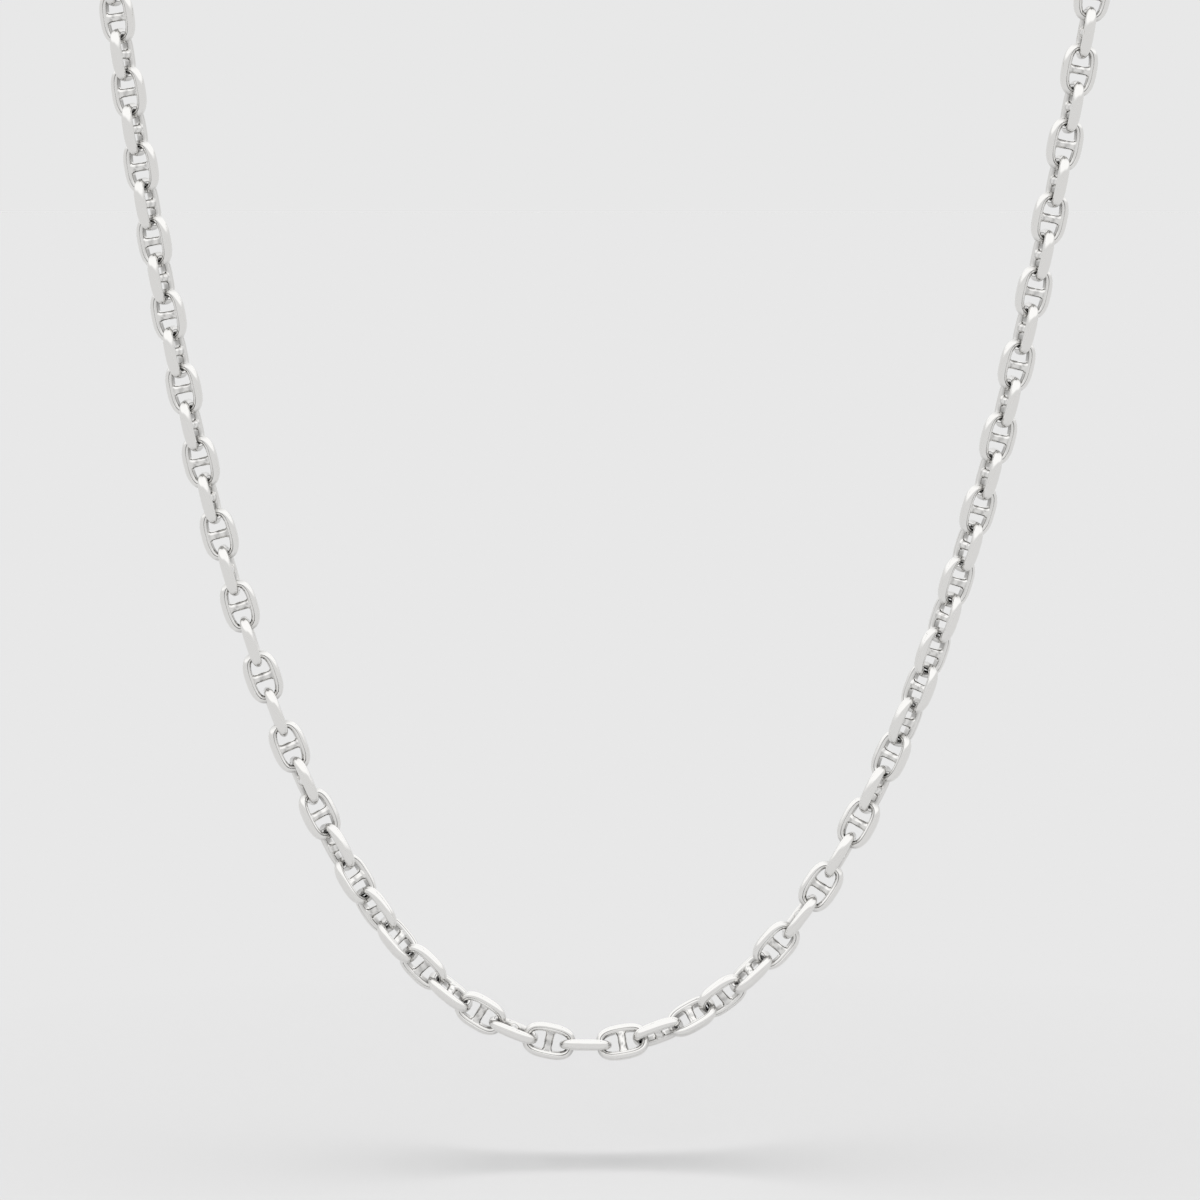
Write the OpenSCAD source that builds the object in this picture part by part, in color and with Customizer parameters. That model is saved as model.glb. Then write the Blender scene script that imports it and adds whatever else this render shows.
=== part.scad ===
// A silver anchor chain for the neck, worn. Each link is a flattened ring with a bar across its middle, and is turned
// about a quarter from the next. The front hangs free in one plane, and the rest goes over the shoulders to the nape.
// Millimetres. X is to the right, Y to the back, Z up. The origin is the middle of the neck that the chain goes round.

/* [Link] */
// Length of a link over its two ends
link_l = 6.46; // [6.3:0.01:6.6]
// Width of a link over its two rails
link_w = 4.38; // [4.3:0.01:4.6]
// Thickness at the middle of a link
link_t = 1.34; // [1.25:0.01:1.4]
// Thickness at the tips of a link, which is barrel-shaped from the side
tip_t = 0.8; // [0.7:0.01:1]
// Width of a rail, seen from the front
rail_w = 1.1; // [1.04:0.01:1.16]
// Width of the wire at a link's two ends, seen from the front
end_w = 0.9; // [0.88:0.01:0.94]
// Diameter of the bar across a link
bar_d = 1.1; // [0.9:0.05:1.2]

/* [Section of the wire] */
// Height of the flat band round the outside
outer_flat = 0.6; // [0.5:0.02:0.74]
// How far in from the outside the rounded shoulder ends
shoulder_in = 0.3; // [0.2:0.02:0.4]
// Height of the wire where its shoulder ends
shoulder_h = 1.12; // [1.06:0.02:1.2]
// Width of the slope from the crown down into an eye
slope_w = 0.4; // [0.3:0.02:0.5]
// Height of the wall of an eye
eye_wall = 0.3; // [0.2:0.02:0.4]

/* [Chain] */
// Links on each side of the lowest one
side_links = 60; // [60:2:60]
// Links on each side of the lowest one that are pieces of their own
single_links = 20; // [20:1:20]
// Links that are joined in each run of the rest
run_links = 5; // [5:1:5]
// Play between one link and the next
link_play = 0.12; // [0.1:0.01:0.14]

/* [Hang] */
// Radius of the bend at the lowest link, which sets how wide the chain hangs
bend_r = 22.9; // [22:0.1:24]
// Length of chain from the lowest link to where it turns back over a shoulder
front_l = 150; // [148:1:152]

/* [Neck] */
// Radius of the turn over each shoulder
shoulder_r = 20; // [18:0.5:22]
// Radius of the turn from each side of the neck to the nape
nape_r = 49; // [45:1:50]

/* [Clasp] */
// Length of the clasp between the two end links
clasp_in = 11.4; // [11:0.1:12]
// Width of the claw
claw_w = 5.4; // [5.2:0.1:6]
// Thickness of the claw
claw_t = 1.6; // [1.5:0.05:1.7]
// Width of the metal at the claw's tip
claw_tip = 1.2; // [1:0.05:1.3]
// Length of the claw's eye
claw_eye = 5.5; // [5:0.1:6]
// Length of the hole in the tail ring
tail_l = 2.4; // [2.2:0.1:2.8]
// Width of the hole in the tail ring
tail_eye = 1.9; // [1.8:0.05:2.1]
// Width of the metal of the tail ring
tail_w = 0.9; // [0.8:0.05:1]
// Thickness of the tail ring
tail_t = 1.1; // [1:0.05:1.2]

/* [Hidden] */
FACES = 64;
BARREL_FACES = 720;
QUARTER = 90;
// How far a cut runs past the face that it opens
CROWN_OVER = 0.08;
EYE_OVER = 0.2;
// How deep the bar's ends sit in the rails
BAR_SEAT = 0.35;
// The pins that join the links of a run
JOIN_R = 0.35;
JOIN_L = 1.1;
// The clasp's edges, the upright part of its eyes' walls, and its play on each end link
CLASP_BEVEL = 0.35;
CLASP_WALL = 0.4;
CLASP_PLAY = 0.16;

eye_w = link_w - 2 * rail_w;
eye_l = link_l - 2 * end_w;
pitch = eye_l - link_play;
half_runs = (side_links - single_links) / run_links;

// Twist of the whole chain: [link, counted from the lowest one to the right; turn in degrees]
TWIST = [
    [-60, 0],
    [-26, 26],
    [-20, 15],
    [-16, 1],
    [-12, -11],
    [-6, -56],
    [-2, -85],
    [0, -101],
    [4, -150],
    [8, -186],
    [14, -228],
    [20, -250],
    [30, -256],
    [60, -360],
];

// The route, from the lowest point up the right side. The left side is its mirror image.
front_x = bend_r * asinh(front_l / bend_r);
front_z = sqrt(pow(bend_r, 2) + pow(front_l, 2)) - bend_r;
front_slope = atan(front_l / bend_r);
neck_x = front_x + shoulder_r * cos(front_slope);
neck_z = front_z + shoulder_r * sin(front_slope);
shoulder_l = PI / 2 * shoulder_r;
turn_l = PI / 2 * nape_r;
nape_l = neck_x - nape_r;
end_link_x = clasp_in / 2 - CLASP_PLAY + eye_l / 2;
half_l = side_links * pitch + end_link_x;
side_l = half_l - front_l - shoulder_l - turn_l - nape_l;
neck_depth = shoulder_r + side_l + nape_r;
front_y = -neck_depth / 2;

function asinh(v) = ln(v + sqrt(v * v + 1));
function along(a, b, part) = a * cos(part) + b * sin(part);
function two_digits(n) = n < 10 ? str("0", n) : str(n);

// Each stretch gives [place, direction of travel, direction towards the inside of the loop].
function front_at(s) =
    let (slope = atan(s / bend_r))
    [
        [bend_r * asinh(s / bend_r), front_y, sqrt(pow(bend_r, 2) + s * s) - bend_r - neck_z],
        [cos(slope), 0, sin(slope)],
        [-sin(slope), 0, cos(slope)],
    ];
function shoulder_at(s) =
    let (
        start = front_at(front_l),
        back = [0, 1, 0],
        part = s / shoulder_r * 180 / PI
    )
    [
        start[0] + shoulder_r * (start[1] * sin(part) + back * (1 - cos(part))),
        along(start[1], back, part),
        start[2],
    ];
function side_at(s) =
    let (start = shoulder_at(shoulder_l))
    [start[0] + s * start[1], start[1], start[2]];
function about_z(v, part) = [v.x * cos(part) - v.y * sin(part), v.x * sin(part) + v.y * cos(part), v.z];
function turn_at(s) =
    let (
        start = side_at(side_l),
        middle = start[0] - [nape_r, 0, 0],
        part = s / nape_r * 180 / PI
    )
    [middle + about_z([nape_r, 0, 0], part), about_z(start[1], part), about_z(start[2], part)];
function nape_at(s) =
    let (start = turn_at(turn_l))
    [start[0] + s * start[1], start[1], start[2]];
function right_side_at(s) =
    s <= front_l ? front_at(s)
    : s <= front_l + shoulder_l ? shoulder_at(s - front_l)
    : s <= front_l + shoulder_l + side_l ? side_at(s - front_l - shoulder_l)
    : s <= half_l - nape_l ? turn_at(s - front_l - shoulder_l - side_l)
    : nape_at(s - half_l + nape_l);
function route_at(s) =
    s >= 0 ? right_side_at(s)
    : let (other = right_side_at(-s))
    [
        [-other[0].x, other[0].y, other[0].z],
        [other[1].x, -other[1].y, -other[1].z],
        [-other[2].x, other[2].y, other[2].z],
    ];

function link_turn(n) = lookup(n, TWIST) + QUARTER * n;
function link_name(n) = n == 0 ? "link_lowest" : str(n < 0 ? "link_left_" : "link_right_", two_digits(abs(n)));
function run_name(side, n) = str(side < 0 ? "run_left_" : "run_right_", n);

// Puts what is drawn along X, with its width along Y, at a place on the route.
module on_route(s, turn) {
    at = route_at(s);
    wide = along(at[2], cross(at[1], at[2]), turn);
    up = cross(at[1], wide);
    multmatrix([
        [at[1].x, wide.x, up.x, at[0].x],
        [at[1].y, wide.y, up.y, at[0].y],
        [at[1].z, wide.z, up.z, at[0].z],
    ])
        children();
}

// A long body with round ends. The profile is half of its section: [distance from the long axis, height].
module round_ended(reach, profile) {
    turned = concat([[0, profile[0].y]], profile, [[0, profile[len(profile) - 1].y]]);
    whole = concat(profile, [for (i = [len(profile) - 1 : -1 : 0]) [-profile[i].x, profile[i].y]]);
    for (side = [-1, 1])
        translate([side * reach, 0, 0])
            rotate([0, 0, -QUARTER * side])
                rotate_extrude(angle = 2 * QUARTER, $fn = FACES)
                    polygon(turned);
    rotate([QUARTER, 0, QUARTER])
        linear_extrude(2 * reach, center = true)
            polygon(whole);
}

// An eye with round ends, cut through a body of a given thickness. Its wall is upright for a short height at the
// middle of the thickness, and slopes out by a given width on the way to each face.
module eye(l, w, wall, t, slope) {
    steep = slope / (t - wall) * 2;
    mouth = t / 2 + EYE_OVER;
    mouth_w = w / 2 + steep * (mouth - wall / 2);
    round_ended((l - w) / 2, [[mouth_w, -mouth], [w / 2, -wall / 2], [w / 2, wall / 2], [mouth_w, mouth]]);
}

// The two long faces of a link seen from its side, each part of a large circle.
module barrel() {
    drop = (link_t - tip_t) / 2;
    r = (pow(link_l / 2, 2) + pow(drop, 2)) / (2 * drop);
    intersection_for (side = [-1, 1])
        translate([0, 0, side * (r - link_t / 2)])
            rotate([QUARTER, 0, 0])
                cylinder(h = 2 * link_w, r = r, center = true, $fn = BARREL_FACES);
}

module link() {
    half_w = link_w / 2;
    half_t = link_t / 2;
    crown = rail_w - slope_w;
    crown_h = half_t + CROWN_OVER;
    outline = [
        [half_w - crown, -crown_h],
        [half_w - shoulder_in, -shoulder_h / 2],
        [half_w, -outer_flat / 2],
        [half_w, outer_flat / 2],
        [half_w - shoulder_in, shoulder_h / 2],
        [half_w - crown, crown_h],
    ];
    color("silver") {
        difference() {
            intersection() {
                round_ended((link_l - link_w) / 2, outline);
                barrel();
            }
            eye(eye_l, eye_w, eye_wall, link_t, slope_w);
        }
        rotate([QUARTER, 0, 0])
            cylinder(h = eye_w + 2 * BAR_SEAT, d = bar_d, center = true, $fn = FACES);
    }
}

module placed_link(n) {
    on_route(n * pitch, link_turn(n))
        link();
}

// Links beyond the ones that are pieces of their own, joined where each bears on the next.
module run(side, n) {
    first = single_links + 1 + (n - 1) * run_links;
    for (i = [0 : run_links - 1])
        placed_link(side * (first + i));
    for (i = [0 : run_links - 2])
        on_route(side * (first + i + 1 / 2) * pitch, 0)
            rotate([0, QUARTER, 0])
                color("silver")
                    cylinder(h = JOIN_L, r = JOIN_R, center = true, $fn = FACES);
}

// A flat body with round ends and bevelled edges.
module flat_body(l, w, t) {
    edge = [
        [w / 2 - CLASP_BEVEL, -t / 2],
        [w / 2, -t / 2 + CLASP_BEVEL],
        [w / 2, t / 2 - CLASP_BEVEL],
        [w / 2 - CLASP_BEVEL, t / 2],
    ];
    round_ended((l - w) / 2, edge);
}

// A claw with its tail ring, shut. It lies flat on the nape, across the two end links.
module clasp() {
    tail_out_l = tail_l + 2 * tail_w;
    claw_l = clasp_in - tail_l + claw_tip;
    claw_x = (clasp_in + 2 * claw_tip - claw_l) / 2;
    tail_x = (tail_l - clasp_in) / 2;
    on_route(half_l, QUARTER)
        color("silver")
            difference() {
                union() {
                    translate([claw_x, 0, 0])
                        flat_body(claw_l, claw_w, claw_t);
                    translate([tail_x, 0, 0])
                        flat_body(tail_out_l, tail_eye + 2 * tail_w, tail_t);
                }
                translate([(clasp_in - claw_eye) / 2, 0, 0])
                    eye(claw_eye, claw_w - 2 * claw_tip, CLASP_WALL, claw_t, CLASP_BEVEL);
                translate([tail_x, 0, 0])
                    eye(tail_l, tail_eye, CLASP_WALL, tail_t, CLASP_BEVEL);
            }
}

for (n = [-single_links : single_links])
    placed_link(n);
for (side = [-1, 1])
    for (n = [1 : half_runs])
        run(side, n);
clasp();
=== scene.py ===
import bmesh
import bpy
import math
from mathutils import Matrix, Vector


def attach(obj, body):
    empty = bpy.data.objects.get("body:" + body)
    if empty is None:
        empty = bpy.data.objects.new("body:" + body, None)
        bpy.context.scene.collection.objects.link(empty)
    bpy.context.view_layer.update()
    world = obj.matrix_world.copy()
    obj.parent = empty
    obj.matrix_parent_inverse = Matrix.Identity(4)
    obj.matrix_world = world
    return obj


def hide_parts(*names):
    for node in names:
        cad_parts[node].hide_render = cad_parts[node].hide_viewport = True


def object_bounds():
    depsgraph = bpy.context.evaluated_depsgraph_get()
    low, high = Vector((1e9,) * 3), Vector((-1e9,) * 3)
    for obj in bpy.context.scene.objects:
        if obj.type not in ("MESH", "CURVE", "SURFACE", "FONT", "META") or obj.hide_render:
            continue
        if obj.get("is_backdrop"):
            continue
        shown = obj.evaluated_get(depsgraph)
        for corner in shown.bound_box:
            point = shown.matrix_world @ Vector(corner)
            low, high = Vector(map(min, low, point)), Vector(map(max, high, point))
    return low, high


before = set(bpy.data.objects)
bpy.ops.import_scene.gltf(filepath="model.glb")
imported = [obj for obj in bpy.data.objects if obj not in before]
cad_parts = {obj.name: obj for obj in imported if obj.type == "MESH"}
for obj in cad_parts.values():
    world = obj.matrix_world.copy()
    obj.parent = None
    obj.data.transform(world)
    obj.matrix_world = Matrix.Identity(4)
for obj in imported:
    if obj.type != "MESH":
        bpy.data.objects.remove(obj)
cad_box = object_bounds()


# The thread of the chain
# A silver anchor chain for the neck, worn. It hangs in front in one plane under its own weight, turns back over each
# shoulder, and goes round to the nape. The same few lengths in millimetres that set its solids set this line.
MM = 0.001
pitch = 4.54
side_links = 60
bend_r = 22.9
front_l = 150
shoulder_r = 20
nape_r = 49
clasp_to_link = 7.87
half_l = side_links * pitch + clasp_to_link
front_slope = math.atan(front_l / bend_r)
neck_x = bend_r * math.asinh(front_l / bend_r) + shoulder_r * math.cos(front_slope)
neck_z = math.hypot(bend_r, front_l) - bend_r + shoulder_r * math.sin(front_slope)
shoulder_l = math.pi / 2 * shoulder_r
turn_l = math.pi / 2 * nape_r
side_l = half_l - front_l - shoulder_l - turn_l - (neck_x - nape_r)
front_y = -(shoulder_r + side_l + nape_r) / 2


def right_side_at(length):
    """Place, direction of travel and direction into the loop, at a length up the right side from the lowest point."""
    run = min(length, front_l)
    slope = math.atan(run / bend_r)
    place = Vector((bend_r * math.asinh(run / bend_r), front_y, math.hypot(bend_r, run) - bend_r - neck_z))
    travel = Vector((math.cos(slope), 0, math.sin(slope)))
    inward = Vector((-math.sin(slope), 0, math.cos(slope)))
    back = Vector((0, 1, 0))
    length -= run
    run = min(length, shoulder_l)
    angle = run / shoulder_r
    place += shoulder_r * (math.sin(angle) * travel + (1 - math.cos(angle)) * back)
    travel = math.cos(angle) * travel + math.sin(angle) * back
    length -= run
    run = min(length, side_l)
    place += run * travel
    length -= run
    run = min(length, turn_l)
    turned = Matrix.Rotation(run / nape_r, 3, "Z")
    out = Vector((nape_r, 0, 0))
    place += turned @ out - out
    travel = turned @ travel
    inward = turned @ inward
    return place + (length - run) * travel, travel, inward


def seat_at(length, turn):
    """Matrix that puts a piece drawn along X in millimetres at a length along the chain, in metres."""
    place, travel, inward = right_side_at(abs(length))
    if length < 0:
        place.x = -place.x
        travel = Vector((travel.x, -travel.y, -travel.z))
        inward.x = -inward.x
    wide = math.cos(turn) * inward + math.sin(turn) * travel.cross(inward)
    seat = Matrix((travel, wide, travel.cross(wide))).transposed().to_4x4()
    seat.translation = place
    return Matrix.Scale(MM, 4) @ seat


# The link
# Each link is a ring of heavy silver wire, pressed flat and barrel-shaped from the side, with a bar soldered across
# its middle. The wire is full on the outside and highest near the eye, where a fine line parts it from a lip that
# rounds down into the eye.
link_l = 6.46
link_w = 4.38
link_t = 1.34
tip_t = 0.8
barrel_power = 3.5
rail_w = 1.1
end_w = 0.9
bar_d = 1.1
band_h = 0.22
outline_fullness = 2.65
eye_fullness = 3.2
crown_in = 0.58
outer_fullness = 2.15
line_w = 0.14
line_depth = 0.06
lip_rise = 0.97
inner_fullness = 1.8
eye_wall = 0.3
eye_l = link_l - 2 * end_w
eye_w = link_w - 2 * rail_w
ring_steps = 64
outer_steps = 8
inner_steps = 5
# How dark the fine line, the eye's wall and the link's tips are painted, and from where along the link the tips
# darken: painted shade, with a painted dark line along the crown.
line_painted_shade = 0.2
wall_painted_shade = 0.3
tip_painted_shade = 0.4
tip_from = 0.8


def new_mesh():
    """A bmesh whose corners carry a weight for rougher silver and painted shade."""
    mesh = bmesh.new()
    mesh.verts.layers.float.new("dull_and_shade")
    return mesh


def round_loop(mesh, length, width, fullness, height_at, dull_and_shade_at=lambda x: 0, middle=0):
    """Adds an oval edge loop, fuller than an ellipse, whose height and weight of roughness and painted shade depend on
    the place along it.
    """
    dull_and_shade = mesh.verts.layers.float["dull_and_shade"]
    made = bmesh.ops.create_circle(mesh, segments=ring_steps, radius=1)["verts"]
    for corner in made:
        x, y = [math.copysign(abs(side) ** (2 / fullness), side) for side in corner.co.xy]
        x *= length / 2
        corner[dull_and_shade] = dull_and_shade_at(x)
        corner.co = Vector((middle + x, y * width / 2, height_at(x)))
    return list({edge for corner in made for edge in corner.link_edges})


def bridged(mesh, loops):
    """Joins edge loops in their order."""
    for near, far in zip(loops, loops[1:]):
        bmesh.ops.bridge_loops(mesh, edges=near + far)


def part_of(mesh):
    """Turns a bmesh into an object whose faces point outwards."""
    bmesh.ops.recalc_face_normals(mesh, faces=mesh.faces)
    data = bpy.data.meshes.new("part")
    mesh.to_mesh(data)
    mesh.free()
    part = bpy.data.objects.new("part", data)
    bpy.context.scene.collection.objects.link(part)
    return part


def soldered(part, other):
    """Mesh of two parts made one."""
    solder = part.modifiers.new("solder", "BOOLEAN")
    solder.object = other
    solder.operation = "UNION"
    solder.solver = "EXACT"
    whole = bpy.data.meshes.new_from_object(part.evaluated_get(bpy.context.evaluated_depsgraph_get()))
    bpy.data.objects.remove(part)
    bpy.data.objects.remove(other)
    whole.shade_smooth()
    whole.set_sharp_from_angle(angle=math.radians(40))
    return whole


def wire_loop(mesh, across, rise, foot, sign):
    """Adds one edge loop round the link, at a distance across the wire and a rise from a foot's height to the top."""
    share = across / rail_w

    def height_at(x):
        barrel = (link_t + (tip_t - link_t) * abs(2 * x / link_l) ** barrel_power) / 2
        low = foot * barrel / link_t
        return sign * (low + rise * (barrel - low))

    # Weight for roughness and painted shade: set in the fine line, deeper into the eye's wall and towards the eye's
    # two ends, and at the tips.
    def dull_and_shade_at(x):
        eye_end = min(1, 2 * abs(x) / eye_l) ** 2
        if across == line_in:
            return line_painted_shade + (1 - line_painted_shade) * eye_end
        if across > lip_in:
            depth = (across - lip_in) / (rail_w - lip_in)
            return depth ** 3 * (wall_painted_shade + (1 - wall_painted_shade) * eye_end)
        return tip_painted_shade * min(1, max(0, 2 * abs(x) / link_l - tip_from) / (1 - tip_from))
    return round_loop(mesh, link_l + share * (eye_l - link_l), link_w + share * (eye_w - link_w),
                      outline_fullness + share * (eye_fullness - outline_fullness), height_at, dull_and_shade_at)


# Half the wire's section, from the band outside over the crown, the fine line and the lip to the wall of the eye. The
# polishing wheel doesn't reach well into the line or the eye, least of all at the eye's two ends, nor to the link's
# tips, which lie in the next eyes, so the silver is rougher there; there it is also painted darker as shade, and the
# line as a painted dark line along the crown.
section = []
for step in range(outer_steps + 1):
    angle = math.pi / 2 * step / outer_steps
    across = crown_in * (1 - max(0, math.cos(angle)) ** (2 / outer_fullness))
    section.append((across, math.sin(angle) ** (2 / outer_fullness), band_h))
line_in = crown_in + line_w / 2
lip_in = crown_in + line_w
section.append((line_in, 1 - 2 * line_depth / (link_t - band_h), band_h))
for step in range(inner_steps + 1):
    angle = math.pi / 2 * step / inner_steps
    across = lip_in + (rail_w - lip_in) * math.sin(angle) ** (2 / inner_fullness)
    section.append((across, lip_rise * max(0, math.cos(angle)) ** (2 / inner_fullness), eye_wall))
mesh = new_mesh()
loops = [wire_loop(mesh, *point, 1) for point in section]
loops += [wire_loop(mesh, *point, -1) for point in reversed(section)]
bridged(mesh, loops + loops[:1])
ring = part_of(mesh)

# The bar across the eye. Its ends sink into the wire, and solder widens it a little where it meets the eye's wall. Its
# feet there are made rougher and painted darker as shade.
bar_seat = 0.4
bar_reach = eye_w / 2 + bar_seat
bar_flat = 0.03
bar_steps = 14
bar_sides = 24
foot_l = 0.25
foot_flare = 0.15
foot_painted_shade = 0.3
seat_painted_shade = 0.4
mesh = new_mesh()
dull_and_shade = mesh.verts.layers.float["dull_and_shade"]
loops = []
for step in range(bar_steps + 1):
    along = bar_reach * math.sin(math.pi * (step / bar_steps - 0.5))
    foot = max(0, abs(along) - eye_w / 2 + foot_l) / foot_l
    made = bmesh.ops.create_circle(mesh, segments=bar_sides, radius=1)["verts"]
    for corner in made:
        # Painted shade at the bar's feet, where they meet the eye's wall.
        corner[dull_and_shade] = min(seat_painted_shade, foot_painted_shade * foot)
        corner.co = Vector((corner.co.x * (bar_d / 2 + foot_flare * foot ** 2), along,
                            corner.co.y * (bar_d / 2 - bar_flat)))
    loops.append(list({edge for corner in made for edge in corner.link_edges}))
bridged(mesh, loops)
bmesh.ops.holes_fill(mesh, edges=loops[0] + loops[-1], sides=0)
link = soldered(ring, part_of(mesh))


# The silver
# Sterling silver with a rhodium flash, tumbled and then polished: bright and almost neutral, with a mirror finish that
# is a little soft where the tumbling rounded it, and fine waves left by the polishing wheel. It is rougher in the
# recesses that the wheel doesn't reach, and its colour is painted dark there as shade.
def linear(code):
    """An sRGB colour such as #E8E8E8 as linear red, green, blue and full cover."""
    shares = [int(code[i:i + 2], 16) / 255 for i in (1, 3, 5)]
    return [s / 12.92 if s <= 0.04045 else ((s + 0.055) / 1.055) ** 2.4 for s in shares] + [1]


def add(tree, kind, sockets, **settings):
    """Adds a node with its settings. A socket's value is a number, a colour or another node's output."""
    made = tree.nodes.new(kind)
    for name, value in settings.items():
        setattr(made, name, value)
    for name, value in sockets.items():
        if isinstance(value, bpy.types.NodeSocket):
            tree.links.new(value, made.inputs[name])
        else:
            made.inputs[name].default_value = value
    return made


polished = linear("#EAE9E7")
# The dark colour mixed in at the eye's walls, the fine line, the tips and the bar's feet: painted shade, not a colour
# the silver has.
painted_shade_colour = linear("#2E2D2B")
mirror_roughness = 0.02
tumbled_roughness = 0.06
recess_roughness = 0.22
wave_mm = 0.7
wave_depth_mm = 0.03
silver = bpy.data.materials.new("rhodium_flashed_silver")
silver.use_nodes = True
tree = silver.node_tree
tree.nodes.clear()
on_piece = add(tree, "ShaderNodeTexCoord", {}).outputs["Object"]
wave = add(tree, "ShaderNodeTexNoise", {"Vector": on_piece, "Scale": 1 / (wave_mm * MM), "Detail": 2,
                                        "Roughness": 0.4})
polish = add(tree, "ShaderNodeMapRange", {"Value": wave.outputs["Fac"], "From Min": 0.3, "From Max": 0.7,
                                          "To Min": mirror_roughness, "To Max": tumbled_roughness})
# The corners' weight makes the silver rougher and, in the mix below, darkens its colour as painted shade.
dull_and_shade_mask = add(tree, "ShaderNodeAttribute", {}, attribute_name="dull_and_shade")
soft = add(tree, "ShaderNodeMath", {0: dull_and_shade_mask.outputs["Fac"], 1: recess_roughness, 2: polish.outputs["Result"]},
           operation="MULTIPLY_ADD")
# Sockets 6 and 7 of the Mix node are its two colours, and its output 2 is the mixed colour.
tone = add(tree, "ShaderNodeMix", {"Factor": dull_and_shade_mask.outputs["Fac"], 6: polished, 7: painted_shade_colour}, data_type="RGBA")
bump = add(tree, "ShaderNodeBump", {"Height": wave.outputs["Fac"], "Strength": 0.3, "Distance": wave_depth_mm * MM})
metal = add(tree, "ShaderNodeBsdfPrincipled", {"Base Color": tone.outputs[2], "Metallic": 1,
                                               "Roughness": soft.outputs["Value"],
                                               "Normal": bump.outputs["Normal"]})
add(tree, "ShaderNodeOutputMaterial", {"Surface": metal.outputs["BSDF"]})


# The links in their places
# Every link is turned a quarter from the next, and the whole chain twists slowly as it hangs. The links of the front
# are pieces of their own, and the rest lie in runs of five. A row of the twist is a link's number, counted from the
# lowest one to the right, and its turn in degrees.
quarter = math.pi / 2
twist = [(-60, 0), (-26, 26), (-20, 15), (-16, 1), (-12, -11), (-6, -56), (-2, -85), (0, -101), (4, -150), (8, -186),
         (14, -228), (20, -250), (30, -256), (60, -360)]
single_links = 20
run_links = 5


def link_turn(number):
    """Turn of a link in radians, from its own quarters and the twist."""
    for (near, near_turn), (far, far_turn) in zip(twist, twist[1:]):
        if near <= number <= far:
            turn = near_turn + (far_turn - near_turn) * (number - near) / (far - near)
            return math.radians(turn) + quarter * number


def lay(name, node, pattern, seats):
    """Lays copies of a mesh at their seats, as one silver piece that stands for a solid of the frame."""
    mesh = bmesh.new()
    for seat in seats:
        copy = pattern.copy()
        copy.transform(seat)
        mesh.from_mesh(copy)
        bpy.data.meshes.remove(copy)
    data = bpy.data.meshes.new(name)
    mesh.to_mesh(data)
    mesh.free()
    data.materials.append(silver)
    piece = bpy.data.objects.new(name, data)
    bpy.context.scene.collection.objects.link(piece)
    even = piece.modifiers.new("even shading", "WEIGHTED_NORMAL")
    even.keep_sharp = True
    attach(piece, "root")
    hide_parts(node)


for number in range(-single_links, single_links + 1):
    side = "left" if number < 0 else "right"
    node = f"link_{side}_{abs(number):02d}" if number else "link_lowest"
    lay("anchor_" + node, node, link, [seat_at(number * pitch, link_turn(number))])
for sign, side in ((-1, "left"), (1, "right")):
    for run in range((side_links - single_links) // run_links):
        first = single_links + 1 + run * run_links
        numbers = [sign * (first + step) for step in range(run_links)]
        node = f"run_{side}_{run + 1}"
        lay("anchor_" + node, node, link, [seat_at(number * pitch, link_turn(number)) for number in numbers])


# The clasp
# A plain cast claw of silver with its tail ring, shut, flat on the nape and out of sight from the front. Its edges are
# tumbled round. The last link of each side hangs in one of its two eyes.
clasp_in = 11.4
claw_w = 5.4
claw_t = 1.6
claw_tip = 1.2
claw_eye = 5.5
tail_l = 2.4
tail_eye = 1.9
tail_w = 0.9
tail_t = 1.1
clasp_fullness = 2.8
clasp_round = 0.32
round_steps = 4


def rounded(mesh, loops, radius, steps):
    """Rounds off edge loops."""
    bmesh.ops.bevel(mesh, geom=[edge for loop in loops for edge in loop], affect="EDGES", offset=radius,
                    offset_type="OFFSET", segments=steps, profile=0.5, material=-1)


def cast_ring(body, body_x, hole, hole_x, thickness):
    """A flat ring with round ends, from the length, width and middle of its outside and of its hole."""
    mesh = new_mesh()
    loops = []
    for sign, outlines in ((1, (0, 1)), (-1, (1, 0))):
        for inside in outlines:
            size, middle = (hole, hole_x) if inside else (body, body_x)
            height = sign * thickness / 2
            loops.append(round_loop(mesh, *size, clasp_fullness, lambda x: height, middle=middle))
    bridged(mesh, loops + loops[:1])
    rounded(mesh, loops, clasp_round, round_steps)
    return part_of(mesh)


claw_l = clasp_in - tail_l + claw_tip
tail_x = (tail_l - clasp_in) / 2
claw = cast_ring((claw_l, claw_w), (clasp_in + 2 * claw_tip - claw_l) / 2, (claw_eye, claw_w - 2 * claw_tip),
                 (clasp_in - claw_eye) / 2, claw_t)
tail = cast_ring((tail_l + 2 * tail_w, tail_eye + 2 * tail_w), tail_x, (tail_l, tail_eye), tail_x, tail_t)
lay("claw_clasp", "clasp", soldered(claw, tail), [seat_at(half_l, quarter)])


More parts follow.
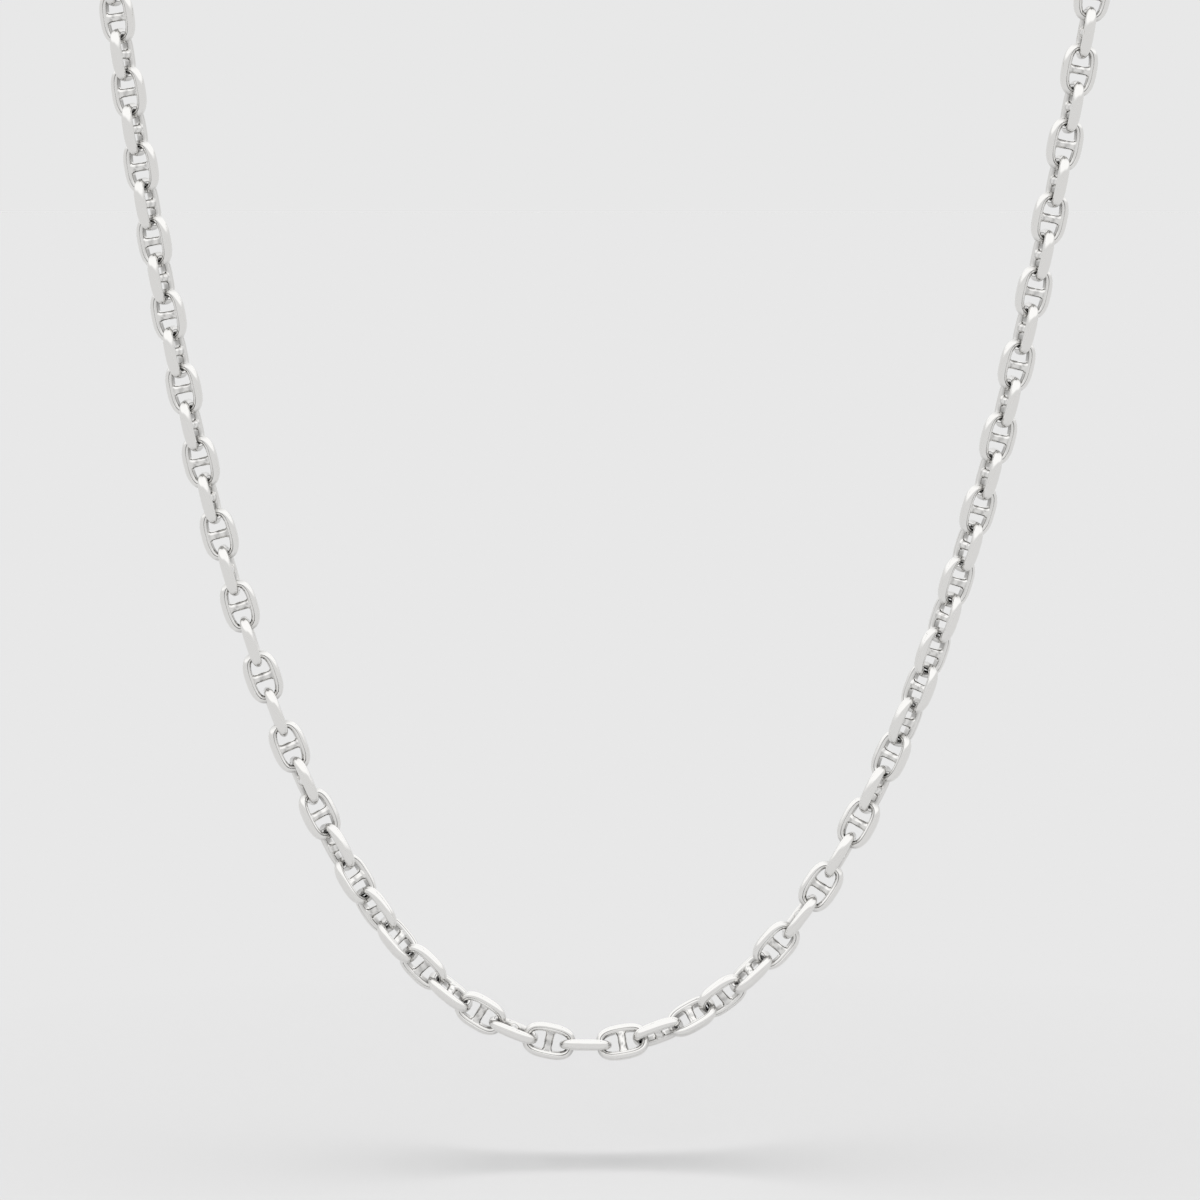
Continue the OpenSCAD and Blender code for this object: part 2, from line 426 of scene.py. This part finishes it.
# The stage
# A floor of matt grey paper just under the chain, which runs off into a light tent of the same tone, and a soft light
# from above. The camera leans a little, as the photograph does, and the floor leans with it.
lowest_z = -neck_z
lean = math.radians(0.91)
floor_drop = 14.5
floor_size = 60
bpy.ops.mesh.primitive_plane_add(size=floor_size, location=(0, front_y * MM, (lowest_z - floor_drop) * MM),
                                 rotation=(0, -lean, 0))
floor = bpy.context.object
floor.name = "floor"
floor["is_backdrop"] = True
paper = bpy.data.materials.new("matt_grey_paper")
paper.use_nodes = True
tree = paper.node_tree
tree.nodes.clear()
matt = add(tree, "ShaderNodeBsdfDiffuse", {"Color": linear("#818181"), "Roughness": 0})
add(tree, "ShaderNodeOutputMaterial", {"Surface": matt.outputs["BSDF"]})
floor.data.materials.append(paper)

# The tent is even up to a little above the horizon, so that it joins the floor unseen, and brightest overhead.
overhead = 1.45
world = bpy.data.worlds.new("light_tent")
bpy.context.scene.world = world
world.use_nodes = True
tree = world.node_tree
tree.nodes.clear()
outward = add(tree, "ShaderNodeSeparateXYZ", {"Vector": add(tree, "ShaderNodeTexCoord", {}).outputs["Generated"]})
height = add(tree, "ShaderNodeMapRange", {"Value": outward.outputs["Z"], "From Min": 0.22, "From Max": 0.42,
                                          "To Min": 1, "To Max": overhead}, interpolation_type="SMOOTHSTEP")
sky = add(tree, "ShaderNodeBackground", {"Color": linear("#E8E8E8"), "Strength": height.outputs["Result"]})
add(tree, "ShaderNodeOutputWorld", {"Surface": sky.outputs["Background"]})

softbox = bpy.data.lights.new("softbox", "SUN")
softbox.angle = math.radians(46)
softbox.energy = 8
softbox_object = bpy.data.objects.new("softbox", softbox)
softbox_object.rotation_euler = (0, math.radians(-3), 0)
softbox_object.visible_glossy = False
bpy.context.scene.collection.objects.link(softbox_object)

camera_back = 598.5
camera_up = 104
aim_right = 0.9
aim_up = 54.7
stand = Vector((0, front_y - camera_back, lowest_z + camera_up)) * MM
aim = Vector((aim_right, front_y, lowest_z + aim_up)) * MM
lens = bpy.data.cameras.new("camera")
lens.lens = 148.2
lens.clip_start = 0.01
camera = bpy.data.objects.new("camera", lens)
camera.matrix_world = (Matrix.Translation(stand) @ (aim - stand).to_track_quat("-Z", "Y").to_matrix().to_4x4()
                       @ Matrix.Rotation(lean, 4, "Z"))
bpy.context.scene.collection.objects.link(camera)
bpy.context.scene.camera = camera
bpy.context.scene.view_settings.view_transform = "Standard"

[[list(corner) for corner in box] for box in (cad_box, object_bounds())]
